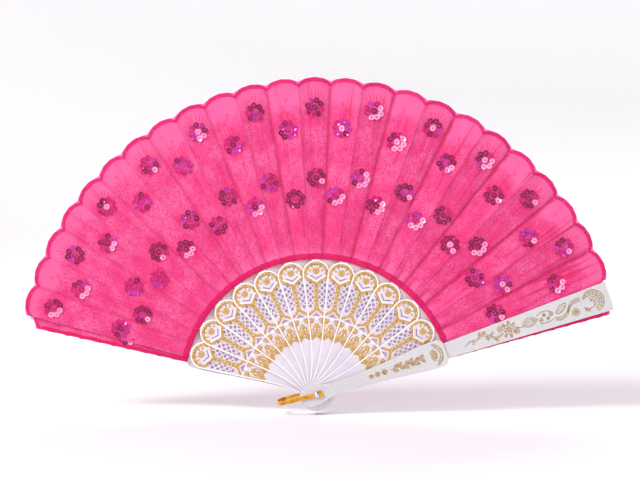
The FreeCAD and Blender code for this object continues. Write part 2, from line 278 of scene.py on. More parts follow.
class Nodes:
    """Short calls for building one material. A colour of three numbers is sRGB, 0 to 255."""

    def __init__(self, name):
        self.material = bpy.data.materials.new(name)
        self.material.use_nodes = True
        self.tree = self.material.node_tree
        self.surface = self.tree.nodes["Principled BSDF"]

    def node(self, kind, inputs=None, **settings):
        n = self.tree.nodes.new("ShaderNode" + kind)
        for key, value in settings.items():
            setattr(n, key, value)
        for key, value in (inputs or {}).items():
            self.put(n.inputs[key], value)
        return n

    def put(self, socket, value):
        if isinstance(value, bpy.types.NodeSocket):
            self.tree.links.new(value, socket)
        elif isinstance(value, tuple) and len(value) == 3 and socket.type == "RGBA":
            socket.default_value = (*linear(*value), 1)
        else:
            socket.default_value = value

    def set(self, **inputs):
        for key, value in inputs.items():
            self.put(self.surface.inputs[key.replace("_", " ")], value)
        return self.material

    def where(self):
        return self.node("TexCoord").outputs["Object"]

    def noise(self, scale, detail=3.0, rough=0.5, vector=None, stretch=None):
        vector = vector or self.where()
        if stretch:
            vector = self.node("Mapping", {"Vector": vector, "Scale": stretch}).outputs[0]
        inputs = {"Vector": vector, "Scale": scale, "Detail": detail, "Roughness": rough}
        return self.node("TexNoise", inputs).outputs["Fac"]

    def ramp(self, value, low, high, start=0.0, end=1.0, smooth=True):
        inputs = {"Value": value, "From Min": low, "From Max": high, "To Min": start, "To Max": end}
        kind = "SMOOTHSTEP" if smooth else "LINEAR"
        return self.node("MapRange", inputs, interpolation_type=kind).outputs["Result"]

    def math(self, operation, a, b=0.0):
        return self.node("Math", {0: a, 1: b, 2: 0.0}, operation=operation).outputs[0]

    def mix(self, share, a, b, blend="MIX"):
        n = self.node("Mix", data_type="RGBA", blend_type=blend)
        self.put(n.inputs["Factor"], share)
        for socket, value in zip([s for s in n.inputs if s.type == "RGBA"], (a, b)):
            self.put(socket, value)
        return [s for s in n.outputs if s.type == "RGBA"][0]

    def times(self, a, b):
        return self.math("MULTIPLY", a, b)

    def plus(self, a, b):
        return self.math("ADD", a, b)

    def bump(self, height, distance, strength):
        inputs = {"Height": height, "Distance": distance, "Strength": strength}
        return self.node("Bump", inputs).outputs[0]

    def uv(self, name):
        return self.node("UVMap", uv_map=name).outputs[0]

    def split(self, vector):
        n = self.node("SeparateXYZ", {"Vector": vector})
        return n.outputs[0], n.outputs[1]


def linear(r, g, b):
    """sRGB 0..255 to linear."""
    def one(c):
        c /= 255
        return c / 12.92 if c <= 0.04045 else ((c + 0.055) / 1.055) ** 2.4
    return one(r), one(g), one(b)


def plastic(name, pale, shade, roughness):
    """Glossy moulded plastic: faint flow marks, a fine skin, and slightly duller worn patches."""
    n = Nodes(name)
    flow = n.noise(45, 2, 0.5)
    worn = n.noise(420, 3, 0.6)
    skin = n.noise(2600, 2, 0.5)
    return n.set(Base_Color=n.mix(n.ramp(flow, 0.3, 0.75), pale, shade),
                 Roughness=n.ramp(worn, 0.3, 0.75, roughness, roughness + 0.14),
                 Specular_IOR_Level=0.55, Coat_Weight=0.3, Coat_Roughness=0.12,
                 Normal=n.bump(skin, 0.00002, 0.3))


def gold_print(name, gold, dark, show):
    """Hot-stamped gold on plastic: mottled, with worn specks where the pale plastic shows."""
    n = Nodes(name)
    tone = n.noise(380, 5, 0.65)
    grain = n.noise(850, 4, 0.7)
    colour = n.mix(n.ramp(tone, 0.34, 0.62), dark, gold)
    worn = n.times(n.ramp(grain, 0.53, 0.62), n.ramp(tone, 0.40, 0.60, 1.0, 0.6))
    worn = n.times(worn, show)
    return n.set(Base_Color=n.mix(worn, colour, (226, 218, 224)),
                 Metallic=n.ramp(worn, 0.0, 0.6, 0.55, 0.0),
                 Roughness=n.ramp(tone, 0.3, 0.7, 0.30, 0.48),
                 Normal=n.bump(n.plus(tone, n.times(grain, 0.6)), 0.00007, 0.6))


def metal(name, colour, dark, roughness, stretch):
    """Polished metal with fine drawn lines, faint smudges and darker tarnish."""
    n = Nodes(name)
    lines = n.noise(900, 4, 0.6, stretch=stretch)
    smudge = n.noise(160, 4, 0.6)
    return n.set(Base_Color=n.mix(n.ramp(smudge, 0.42, 0.75), colour, dark), Metallic=1.0,
                 Roughness=n.ramp(smudge, 0.3, 0.7, roughness, roughness + 0.14),
                 Normal=n.bump(n.plus(lines, smudge), 0.00002, 0.4))


def cloth(name, colour, light, crease, stitch):
    """Thin woven polyester: a plain weave, painted shade along the creases and in long fold streaks with
    painted highlights beside them, stronger towards +X, and meandering embroidery.

    The cloth map is (across, along) in centimetres; the edge map is the distance from the valley crease and
    from the ridge crease, in centimetres.
    """
    n = Nodes(name)
    place = n.uv("cloth")
    across, along = n.split(place)
    valley, ridge = n.split(n.uv("edge"))
    cloud = n.noise(0.55, 4, 0.6, vector=place)
    fine = n.noise(7.0, 3, 0.6, vector=place)
    slub = n.noise(5.0, 2, 0.5, vector=place, stretch=(6.0, 1.0, 1.0))
    weave = n.times(n.math("SINE", n.times(across, 180.0)), n.math("SINE", n.times(along, 180.0)))
    clear = n.ramp(n.plus(along, n.times(cloud, 1.6)), 20.9, 21.9)
    body = n.mix(n.ramp(cloud, 0.36, 0.66), colour, light)
    body = n.mix(n.times(clear, 0.75), body, light)
    body = n.mix(n.ramp(weave, -1.0, 1.0, 0.0, 0.10, smooth=False), body, crease)
    body = n.mix(n.ramp(fine, 0.45, 0.8, 0.0, 0.25), body, crease)
    wander = n.times(n.noise(1.3, 3, 0.55, vector=place), 0.32)
    # painted shade and highlight are stronger towards +X, where the light falls across the pleats
    right = n.ramp(n.split(n.where())[0], -0.12, 0.12, 0.45, 1.0)
    streak = n.noise(1.0, 2, 0.5, vector=place, stretch=(1.9, 0.13, 1.0))
    # painted shade: darker along the valley crease and in long fold streaks
    fold = n.ramp(n.plus(valley, wander), 0.14, 0.42, 0.8, 0.0)
    fold = n.math("MAXIMUM", fold, n.ramp(streak, 0.56, 0.68, 0.0, 0.6))
    body = n.mix(n.times(fold, right), body, crease)
    # painted highlight: lighter beside the fold streaks
    body = n.mix(n.times(n.ramp(streak, 0.30, 0.42, 0.5, 0.0), right), body, light)
    # painted shade: darker along the ridge crease
    edge = n.ramp(n.plus(ridge, wander), 0.12, 0.30, 0.35, 0.0)
    body = n.mix(n.times(edge, right), body, crease)
    lines = []
    for scale, width in ((2.1, 0.026), (3.4, 0.034), (5.2, 0.044)):
        wave = n.noise(scale, 1.5, 0.5, vector=place)
        lines.append(n.ramp(n.math("ABSOLUTE", n.math("SUBTRACT", wave, 0.5)), 0.0, width, 1.0, 0.0))
    line = n.math("MAXIMUM", n.math("MAXIMUM", lines[0], lines[1]), lines[2])
    dash = n.ramp(n.noise(9.0, 2, 0.5, vector=place), 0.42, 0.52)
    sown = n.times(n.ramp(along, 10.2, 10.8), n.math("SUBTRACT", 1.0, clear))
    line = n.times(n.times(line, dash), sown)
    body = n.mix(n.times(line, 0.85), body, stitch)
    height = n.plus(n.plus(weave, n.times(slub, 3.0)), n.times(streak, -40.0))
    n.set(Base_Color=body, Roughness=n.ramp(slub, 0.3, 0.7, 0.62, 0.8), Specular_IOR_Level=0.2,
          Sheen_Weight=0.12, Sheen_Roughness=0.4, Sheen_Tint=(1.0, 0.7, 0.85, 1.0),
          Normal=n.bump(height, 0.00002, 0.7))
    glow = n.node("BsdfTranslucent", {"Color": body})
    share = n.node("MixShader", {0: 0.15, 1: n.surface.outputs[0], 2: glow.outputs[0]})
    n.tree.links.new(share.outputs[0], n.tree.nodes["Material Output"].inputs["Surface"])
    return n.material


def trim(name, colour, dark, glint, share):
    """Dense machine stitching: rows of thread with dark gaps, and pale flecks painted on as glints."""
    n = Nodes(name)
    across, along = n.split(n.uv("cloth"))
    rows = n.math("SINE", n.times(n.plus(across, n.times(along, 0.5)), 120.0))
    knots = n.node("TexVoronoi", {"Vector": n.where(), "Scale": 1500.0}).outputs["Distance"]
    broken = n.noise(900, 3, 0.65)
    body = n.mix(n.ramp(rows, -0.8, 0.6), dark, colour)
    body = n.mix(n.ramp(knots, 0.25, 0.75, 0.0, 0.55), body, dark)
    # painted glints: scattered pale flecks
    body = n.mix(n.times(n.ramp(broken, 0.61, 0.68), share), body, glint)
    return n.set(Base_Color=body, Roughness=0.6, Specular_IOR_Level=0.2, Sheen_Weight=0.1,
                 Sheen_Tint=(1.0, 0.6, 0.8, 1.0),
                 Normal=n.bump(n.math("SUBTRACT", n.times(rows, 0.5), knots), 0.00008, 0.8))


def thread(name, colour, dark):
    """Shiny embroidery thread with a twist."""
    n = Nodes(name)
    ply = n.noise(2200, 2, 0.5, stretch=(1.0, 1.0, 0.4))
    tone = n.noise(120, 3, 0.6)
    body = n.mix(n.ramp(tone, 0.4, 0.6, 0.0, 0.5), colour, dark)
    return n.set(Base_Color=n.mix(n.ramp(ply, 0.35, 0.65), dark, body),
                 Roughness=0.5, Specular_IOR_Level=0.35,
                 Normal=n.bump(ply, 0.00001, 0.5))


def sequin(name, colour, deep, roughness):
    """Lacquered foil: bright metal, its tint deeper in places, with tiny scuffs."""
    n = Nodes(name)
    scuff = n.noise(1500, 4, 0.6)
    tone = n.noise(260, 2, 0.5)
    body = n.mix(n.ramp(tone, 0.35, 0.65, 0.1, 0.75), colour, deep)
    return n.set(Base_Color=body, Metallic=0.6,
                 Roughness=n.ramp(scuff, 0.3, 0.75, roughness, roughness + 0.15),
                 Coat_Weight=0.25, Coat_Roughness=0.08, Coat_Tint=(1.0, 0.8, 0.9, 1.0),
                 Normal=n.bump(scuff, 0.00002, 0.4))


# the rim and wall copies of the stick plastic are painted highlight and painted shade
STICK_RIM_HIGHLIGHT = plastic("stick_rim_plastic", (242, 240, 244), (234, 231, 238), 0.24)
STICK_FACE = plastic("stick_face_plastic", (214, 208, 219), (206, 198, 212), 0.30)
STICK_WALL_SHADE = plastic("stick_wall_plastic", (186, 164, 182), (172, 148, 168), 0.34)
GUARD_PLASTIC = plastic("guard_plastic", (202, 201, 202), (195, 193, 196), 0.20)
GOLD = gold_print("gold_print", (208, 168, 90), (174, 130, 60), 0.85)
PALE_GOLD = gold_print("pale_gold_print", (200, 174, 120), (176, 146, 94), 0.4)
OUTLINE = gold_print("print_outline", (150, 128, 96), (124, 102, 74), 0.2)
INK = gold_print("dark_print", (96, 66, 34), (52, 34, 22), 0.1)
# painted shade: a mauve sheet that stands in for the shade seen through the openwork
SHADE_FILM = plastic("mauve_film", (200, 166, 186), (184, 148, 170), 0.5)
SILVER = metal("silver", (222, 224, 232), (120, 128, 158), 0.10, (1.0, 6.0, 1.0))
BRASS = metal("gold", (236, 172, 52), (176, 108, 22), 0.20, (0.15, 1.0, 3.0))
# the fourth colour is the painted shade of the creases and fold streaks, also the darker tone of the weave and
# mottling
PINK = cloth("pink_cloth", (232, 70, 136), (242, 106, 164), (192, 20, 78), (206, 34, 106))
BORDER = trim("border_stitching", (226, 40, 122), (190, 14, 90), (255, 150, 196), 0.45)
PALE_TRIM = trim("under_layer_stitching", (255, 132, 184), (246, 84, 152), (255, 190, 216), 0.4)
HEM = trim("hem_stitching", (226, 24, 106), (184, 8, 74), (250, 120, 170), 0.25)
NET = trim("net", (226, 208, 210), (208, 184, 188), (244, 230, 234), 0.3)
PIPING = thread("piping_thread", (252, 120, 176), (236, 70, 140))
CRIMSON = thread("crimson_thread", (250, 56, 128), (236, 36, 106))
MAGENTA = thread("magenta_thread", (250, 70, 142), (238, 44, 118))
SEQUINS = [
    sequin("sequin_plum", (160, 12, 86), (112, 6, 64), 0.14),
    sequin("sequin_crimson", (220, 24, 120), (160, 10, 92), 0.09),
    sequin("sequin_violet", (216, 56, 168), (166, 28, 128), 0.08),
    sequin("sequin_pale", (252, 176, 212), (248, 128, 188), 0.22),
]


# ---- the cloth leaf

INNER_SWAY, OUTER_SWAY = 0.5, 1.7     # half depth of a pleat at the leaf's two ends
REAR_SWAY = 0.3                       # share of it at the leaf's free rear edge
CLOTH_T = 0.13
RIB_CLEAR = 0.05                      # the cloth lies this far inside its CAD layer over the rib
WRINKLE = 0.24
GLUED_CALM, FREE_CALM = 0.7, 0.2      # a free pleat folds up by its depth, so it is kept smoother
SMOOTH_RIM = 30.0                     # the wrinkles fade out over this much of the outer edge
FLAT_RISE = 0.5                       # trim lies this much flatter on a pleat that is folded away


def sway(r):
    return INNER_SWAY + (OUTER_SWAY - INNER_SWAY) * (r - LEAF_INNER) / (LEAF_TOP - LEAF_INNER)


class Pleat:
    """One panel of the leaf. x runs from -1 at its first crease to 1 at its second."""

    def __init__(self, name, first, second, first_y, second_y, bodies, flat_on=None, opened=None):
        self.name, self.node, self.bodies = name, "leaf_" + name, bodies
        self.first, self.second = first, second           # crease angles at rest
        self.first_y, self.second_y = first_y, second_y   # depths of the creases, as functions of r
        self.flat_on = flat_on                            # depth over a rib, for a panel that is glued to one
        self.opened = opened or second                    # the second crease's angle when the pleat is open
        self.crest = leaf_crest((first + second) / 2)     # the scallop's top, and its two outer corners
        self.corners = [leaf_crest(first) - SCALLOP, leaf_crest(second) - SCALLOP]
        self.seed = len(name) * 3.7 + first * 0.61
        self.valley = 1 if flat_on is not None else -1    # a glued panel's first crease is the valley
        self.rise = FLAT_RISE if opened else 1.0
        self.flowers = FLOWERS[flat_on is not None]
        if opened:
            s = np.linspace(0.13, 0.87, 200)
            turned = s * s * (3 - 2 * s) * (opened - second)
            self.open_angles, self.open_shares = first + (second - first) * s + turned, s

    def edge(self, x):
        """Radius of the scalloped edge."""
        first, second = self.corners
        return self.crest + (second - first) / 2 * x + ((first + second) / 2 - self.crest) * x * x

    def depth(self, share, r):
        if self.flat_on is None:
            return self.first_y(r) + (self.second_y(r) - self.first_y(r)) * share
        x = 2 * share - 1
        end = self.first_y(r) if x < 0 else self.second_y(r)
        return self.flat_on + (end - self.flat_on) * abs(x) ** 3

    def wrinkle(self, share, r):
        x = 2 * share - 1
        calm = (1 - x * x) * min(1.0, max(0.0, (self.crest - r) / SMOOTH_RIM))
        n = noise.noise(Vector((r * 0.045, x * 1.3, self.seed)))
        n += 0.5 * noise.noise(Vector((r * 0.14, x * 2.6, self.seed + 9)))
        return WRINKLE * calm * (-GLUED_CALM * abs(n) if self.flat_on is not None else FREE_CALM * n)

    def point(self, share, r, lift=0.0):
        """A point of the panel at rest, in the frame, with a lift towards the front (negative depth)."""
        y = self.depth(share, r) + self.wrinkle(share, r) + lift
        return on_frame(r, self.first + (self.second - self.first) * share, y)

    def on_cloth(self, along, across, lift):
        """Carries (along, across the open panel, lift) onto the cloth."""
        middle = (self.first + self.opened) / 2
        angle = middle + math.degrees(across / along)
        if self.opened != self.second:
            share = float(np.interp(angle, self.open_angles, self.open_shares))
        else:
            share = (angle - self.first) / (self.second - self.first)
        return self.point(min(max(share, -0.02), 1.02), along, lift * self.rise)

    def half_width(self, r):
        return r * radians(abs(self.opened - self.first) / 2)

    def follow(self, obj, at=None):
        """Fixes a piece to the leaf: attaches it to its stick, or, on a panel between two sticks, bakes it in
        place in the frame without bending it.
        """
        if len(self.bodies) == 1:
            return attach(obj, self.bodies[0])
        if at is None:
            a, b, c, d = [np.array(self.point(share, r)) for share in (0, 1) for r in (LEAF_INNER, LEAF_TOP)]
            across = np.cross(b - a, d - c)
            across /= np.linalg.norm(across)
        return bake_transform(obj)


def pleats():
    """The 27 panels, from the front guard to the rear guard: each stick's own, and the free one after it."""
    found = []
    flat = lambda y: (lambda r: y)
    ahead = lambda y: (lambda r: y - sway(r))
    behind = lambda y: (lambda r: y + sway(r))
    d = front("leaf_front_guard") + RIB_CLEAR
    found.append(Pleat("front_guard", GUARD_ANGLE - HALF - FRONT_TUCK, GUARD_ANGLE + HALF,
                       behind(d), flat(d), ["front_guard"], flat_on=d))
    found[0].crest, found[0].corners = FRONT_LEAF, [FRONT_LEAF - SCALLOP, FRONT_LEAF]
    last, last_body, last_y = GUARD_ANGLE + HALF, "front_guard", flat(d)
    for i in range(1, STICKS + 1):
        angle, body = GUARD_ANGLE + STEP * i, "stick_%02d" % i
        d = front("leaf_stick_%02d" % i) + RIB_CLEAR
        found.append(Pleat("fold_%02d" % (i - 1), last, angle - HALF, last_y, behind(d), [last_body, body]))
        edge_y = flat(d) if i == STICKS else ahead(d)
        found.append(Pleat(body, angle - HALF, angle + HALF, behind(d), edge_y, [body], flat_on=d))
        last, last_body, last_y = angle + HALF, body, edge_y
    d = front("leaf_rear_guard") + RIB_CLEAR
    found.append(Pleat("fold_%02d" % STICKS, last, REAR_ANGLE - HALF, last_y, flat(d),
                       [last_body, "rear_guard"], opened=REAR_ANGLE - HALF + REAR_SPREAD))
    found.append(Pleat("rear_guard", REAR_ANGLE - HALF, REAR_ANGLE + HALF + REAR_TUCK,
                       flat(d), lambda r: d - REAR_SWAY * sway(r), ["rear_guard"], flat_on=d))
    found[-1].corners[1] = REAR_CORNER
    found[-1].crest = (sum(found[-1].corners) + SCALLOP) / 2
    return found


def panel_sheet(p):
    """The panel's cloth: a thin closed sheet with a scalloped outer edge."""
    columns, rows = 20, 72
    shape = Shape()
    cloth_uv, edge_uv, layers = [], [], []
    for lift in (0.0, CLOTH_T):
        for i in range(columns + 1):
            share = i / columns
            x = 2 * share - 1
            top = p.edge(x)
            for k in range(rows + 1):
                r = LEAF_INNER + (top - LEAF_INNER) * k / rows
                layers.append(p.point(share, r, lift))
                half = p.half_width(r)
                cloth_uv.append((x * half / 10 + p.seed, r / 10))
                edge_uv.append((half * (1 + p.valley * x) / 10, half * (1 - p.valley * x) / 10))
    n = rows + 1
    size = (columns + 1) * n
    faces = []
    for a in (i * n + k for i in range(columns) for k in range(rows)):
        faces.append((a, a + 1, a + n + 1, a + n))
        faces.append(tuple(size + j for j in (a, a + n, a + n + 1, a + 1)))
    around = [i * n for i in range(columns)] + [columns * n + k for k in range(rows)]
    around += [i * n + rows for i in range(columns, 0, -1)] + list(range(rows, 0, -1))
    faces += [(a, b, size + b, size + a) for a, b in zip(around, around[1:] + around[:1])]
    shape.add(layers, faces)
    shape.uvs = {"cloth": cloth_uv, "edge": edge_uv}
    return shape.make(p.node, lambda *place: place, [PINK], smooth_angle=60)


def mapped(shape):
    """Gives trim its (across, along) map from the points' own places, in centimetres."""
    shape.uvs = {"cloth": [(across / 10, along / 10) for along, across, _ in shape.points]}
    return shape


def lofted(rings):
    shape = Shape()
    shape.loft(rings)
    return mapped(shape)


BORDER_W = 3.1
BORDER_OUT = 0.3        # how far the border reaches past the cloth
DEEP = 1.7              # how far the border's own scallops reach in past the cloth's at a crease
SIDE_W = 2.6
HEM_W = 4.4
TRIM_BACK = CLOTH_T + 0.05
CUT = 0.3               # softened edge of the trim
NET_INNER, NET_T = 88.0, 0.08
BEHIND_STICK = 0.06     # gap from a stick's back to the net
SIDES = {"front_guard": -1, "rear_guard": 1}    # panels with a free side edge, and which side it is
MIDDLE = 160.0          # about half way out along the leaf


def border_shapes(p):
    """The stitched border: an under layer that fills the valleys, and the scalloped band over it."""
    steps = 28
    band, under, piping = Shape(), Shape(), Shape()
    lines, cord = ([], [], [], []), []
    for k in range(steps + 1):
        x = 2 * k / steps - 1
        flutter = 0.09 * sin(11 * x + p.seed)
        rim = p.edge(x) + BORDER_OUT + flutter
        band_rim = rim - DEEP * x ** 4
        for line, r in zip(lines, (rim - 0.1, band_rim - 1.5, band_rim, band_rim - BORDER_W)):
            line.append(Vector((r, x * p.half_width(r))))
        r = band_rim - BORDER_W - 0.1
        cord.append((r, x * p.half_width(r), -0.1))
    for shape, edges, low, high in ((under, lines[:2], CLOTH_T + 0.06, -0.08),
                                    (band, lines[2:], CLOTH_T + 0.1, -0.26)):
        rings = []
        for a, b in zip(*edges):
            cut = (a - b).normalized() * CUT
            rings.append([(*a, (low + high) / 2), (*(a - cut), high), (*((a + b) / 2), high - 0.04),
                          (*(b + cut), high), (*b, 0.0), (*(b + cut), low), (*(a - cut), low)])
        shape.loft(rings)
    piping.tube(cord, 0.2, 6)
    return mapped(band), mapped(under), piping


def side_band(p, x):
    """The wavy stitched hem along the leaf's free side edge."""
    steps, rings = 90, []
    low, high = LEAF_INNER + CUT, p.edge(x) - 0.4
    for k in range(steps + 1):
        r = low + (high - low) * k / steps
        outside = x * (p.half_width(r) + 0.35 * sin(r * 0.55) + 0.15 * sin(r * 1.3))
        inside = x * (p.half_width(r) - SIDE_W + 0.3 * sin(r * 0.4 + 1.0))
        cut = CUT * x
        ring = ((outside, 0.05), (outside - cut, -0.16), (inside + cut, -0.16), (inside, 0.0),
                (inside + cut, TRIM_BACK), (outside - cut, TRIM_BACK))
        rings.append([(r, across, depth) for across, depth in ring])
    return lofted(rings)


def hem_shape(p):
    """The stitched hem along the leaf's inner edge."""
    steps, rings = 14, []
    for k in range(steps + 1):
        x = 2 * k / steps - 1
        low, high = LEAF_INNER - 0.1, LEAF_INNER + HEM_W + 0.25 * sin(5 * x + p.seed)
        a, b = x * p.half_width(low), x * p.half_width(high)
        rings.append([(low, a, 0.06), (low + CUT, a, -0.10), (high - CUT, b, -0.12), (high, b, 0.0),
                      (high - CUT, b, TRIM_BACK), (low + CUT, a, TRIM_BACK)])
    return lofted(rings)


# ---- sequins and embroidery

RING, PETALS = 5.0, 8
SEQUIN_R, HOLE_R = 2.1, 0.6
RAYS, RAY_LENGTH, RAY_R = 26, 1.8, 0.22
FLOWERS = ((189.0, 141.0), (205.0, 155.0))      # distances on a free panel, and on a glued one
DOT_TOP, DOT_PITCH = 136.0, 1.9                 # dotted lines in the panel's lower part
SPRIG_TOP = LEAF_TOP - 15
FLOWER_CLEAR = 9.0


def add_sequin(shape, along, across, tilt_along, tilt_across, lift):
    """A cup sequin with a hole in the middle, as a thin closed shell."""
    profile = [(HOLE_R, 0.0), (1.15, -0.03), (1.3, -0.06), (SEQUIN_R, -0.30), (SEQUIN_R, -0.25), (1.3, 0.0),
               (1.1, 0.03), (HOLE_R, 0.05)]
    rings = []
    for t in turns(12, 0.5):
        ring = [(*polar((0, 0), radius, t), height) for radius, height in profile]
        rings.append([(along + u, across + v, lift + height + u * tilt_along + v * tilt_across)
                      for u, v, height in ring])
    shape.loft(rings, closed=True)


def flower(centre, across, highlight_side):
    """Eight sequins round one, and the stitches that radiate from them."""
    shape, rays = Shape(), Shape()
    turn = RNG.uniform(0, math.tau)
    pale = RNG.choice((0, 0, 1, 2, 3, 4))
    palette = RNG.choice(((0.75, 0.20, 0.05), (0.35, 0.40, 0.25), (0.10, 0.35, 0.55)))
    order = [turn + t for t in turns(PETALS)]
    # painted highlight: the pale sequins go on the flower's side that faces the lower right of the frame,
    # whatever the panel's angle
    light = sorted(order, key=lambda t: abs(math.remainder(t - highlight_side, math.tau)))[:pale]
    for t in order:
        radius = RING + RNG.uniform(-0.25, 0.25)
        shape.material = 3 if t in light else RNG.choices((0, 1, 2), palette)[0]
        add_sequin(shape, *polar((centre, across), radius, t),
                   RNG.uniform(-0.2, 0.2), RNG.uniform(-0.2, 0.2), -0.38 + RNG.uniform(-0.05, 0.0))
    shape.material = RNG.choices((0, 1, 2, 3), (0.3, 0.35, 0.2, 0.15))[0]
    add_sequin(shape, centre, across, RNG.uniform(-0.05, 0.05), RNG.uniform(-0.05, 0.05), -0.2)
    for k in range(RAYS):
        t = math.tau * (k + RNG.uniform(-0.2, 0.2)) / RAYS
        outward = cos(t)
        if outward < 0.1 and RNG.random() < 0.2:
            continue
        start = RING + 1.9 + RNG.uniform(-0.3, 0.4)
        end = start + RAY_LENGTH * (1 + 2 * max(outward, 0.0)) + RNG.uniform(-0.5, 0.5)
        middle = (start + end) / 2
        line = ((start, 0.0), (middle, -0.06), (end, 0.0))
        rays.tube([(*polar((centre, across), q, t), lift) for q, lift in line], RAY_R, 6)
    return shape, rays


def sprigs(p):
    """Wavy runs of stitches up the middle of a panel, and dotted lines in its lower part."""
    stitches = Shape()
    r, side = LEAF_INNER + HEM_W + 6.0, 1
    while r < SPRIG_TOP:
        length = RNG.uniform(3.0, 4.6)
        middle = r + length / 2
        if all(abs(middle - b) > FLOWER_CLEAR for b in p.flowers):
            bow = side * RNG.uniform(0.8, 1.5)
            stitches.tube([(r + length * q, bow * sin(math.pi * q) * 1.2 + side * 0.5,
                            -0.12 if 0 < q < 1 else -0.02) for q in (0, 0.25, 0.5, 0.75, 1)], 0.22)
            leaf = RNG.uniform(1.6, 2.4)
            stitches.tube([(middle, side * 1.6, -0.03), (middle + leaf / 2, side * 2.4, -0.13),
                           (middle + leaf, side * (2.6 + RNG.uniform(0, 0.6)), -0.03)], 0.2)
            side = -side
        r += length + 0.6
    for share in (-0.55, 0.55):
        r = LEAF_INNER + HEM_W + 2.5
        while r < DOT_TOP:
            a = share * p.half_width(r)
            stitches.tube([(r, a, -0.02), (r + 0.45, a, -0.1), (r + 0.9, a, -0.02)], 0.2, 4)
            r += DOT_PITCH
    return stitches


def net(p):
    """The sheer net below the stitched hem, behind the round ends of the panel's two sticks."""
    steps = 12
    first = (p.first + p.second) / 2 - STEP / 2
    depth = front(p.bodies[1]) + STICK_T + BEHIND_STICK
    corners = ((NET_INNER, 0.0), (LEAF_INNER, 0.0), (LEAF_INNER, NET_T), (NET_INNER, NET_T))
    shape = Shape()
    shape.loft([[(r, first + STEP * k / steps, depth + thick) for r, thick in corners]
                for k in range(steps + 1)])
    shape.uvs = {"cloth": [(r * radians(angle) / 10, r / 10) for r, angle, _ in shape.points]}
    return shape


def dress_leaf():
    for p in pleats():
        sheet = panel_sheet(p)
        p.follow(sheet)
        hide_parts(p.node)

        def finish_piece(shape, kind, materials, at, place=p.on_cloth, tail=""):
            obj = shape.make("%s_%s%s" % (kind, p.name, tail), place, materials)
            p.follow(obj, at)

        band, under, piping = border_shapes(p)
        finish_piece(band, "border", [BORDER], LEAF_TOP - 2)
        finish_piece(under, "underlayer", [PALE_TRIM], LEAF_TOP - 2)
        if p.name in SIDES:
            finish_piece(side_band(p, SIDES[p.name]), "side_hem", [HEM], MIDDLE)
        finish_piece(piping, "piping", [PIPING], LEAF_TOP - BORDER_W)
        finish_piece(hem_shape(p), "hem", [HEM], LEAF_INNER + HEM_W / 2)
        if p.flat_on is None and p.opened == p.second:
            finish_piece(net(p), "net", [NET], LEAF_INNER - 3, place=on_frame)
        finish_piece(sprigs(p), "sprigs", [MAGENTA], MIDDLE)
        for number, r in enumerate(p.flowers):
            # the side of each flower for the painted highlight of pale sequins, lower right in the frame
            lower_right = radians(-45 - (p.first + p.second) / 2)
            centre, tail = r + p.crest - LEAF_TOP + RNG.uniform(-1.5, 1.5), "_%d" % number
            sequins, rays = flower(centre, RNG.uniform(-0.8, 0.8), lower_right)
            finish_piece(sequins, "sequins", SEQUINS, centre, tail=tail)
            finish_piece(rays, "rays", [CRIMSON], centre, tail=tail)
        width = 2 * p.half_width(p.crest)
        area = (p.crest ** 2 - LEAF_INNER ** 2) * p.half_width(p.crest) / p.crest


dress_leaf()


# ---- gold print on the sticks

PRINT_T = 0.1
STROKE_T = 0.0015


def lobe_half(r):
    """Half width of a stick between its neck and its lobe, as in the CAD."""
    return NECK_HALF + (LOBE_R - NECK_HALF) * min(max((r - NECK_TO) / (LOBE_CENTRE - NECK_TO), 0.0), 1.0)


